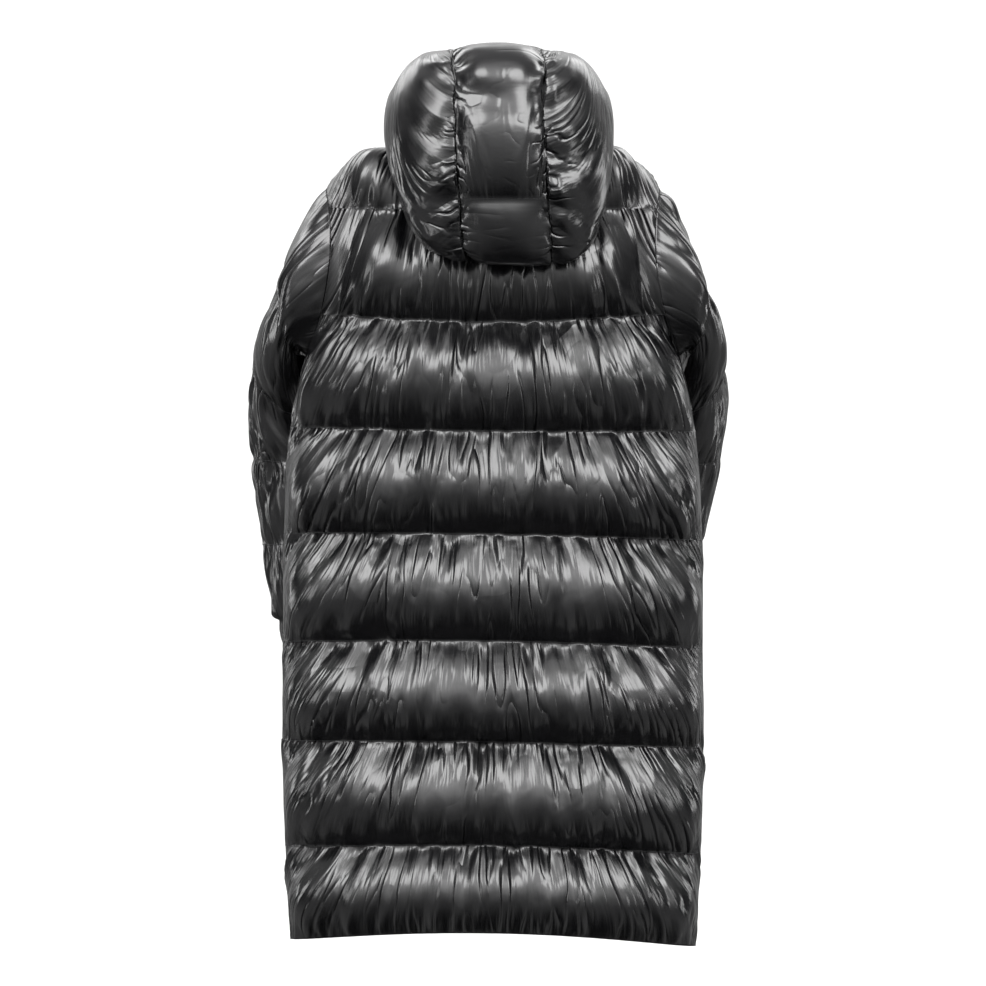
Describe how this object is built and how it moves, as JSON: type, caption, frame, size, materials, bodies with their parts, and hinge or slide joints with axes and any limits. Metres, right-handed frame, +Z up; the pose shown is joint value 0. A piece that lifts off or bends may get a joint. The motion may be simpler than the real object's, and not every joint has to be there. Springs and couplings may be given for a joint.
{
  "type": "long puffer coat",
  "caption": "Long hooded puffer coat with horizontal quilted channels, filled out with no wearer and held at the neck.",
  "frame": {"origin": "middle of the neck opening, at the height of the neck seam's sides", "axes": "+Z up, the coat's front faces -Y, +X is the wearer's left"},
  "size_m": [0.6946, 0.5367, 1.2671],
  "materials": {
    "nylon": "glossy black nylon over padding",
    "stud": "black plated"
  },
  "bodies": {
    "root": {"back_panel": "nylon", "front_left": "nylon", "front_right": "nylon", "front_placket": "nylon", "sleeve_left": "nylon", "sleeve_right": "nylon", "hood_centre": "nylon", "hood_left": "nylon", "hood_right": "nylon", "stud_1": "stud", "stud_2": "stud", "stud_3": "stud", "stud_4": "stud", "stud_5": "stud", "stud_6": "stud", "stud_7": "stud"}
  },
  "joints": []
}
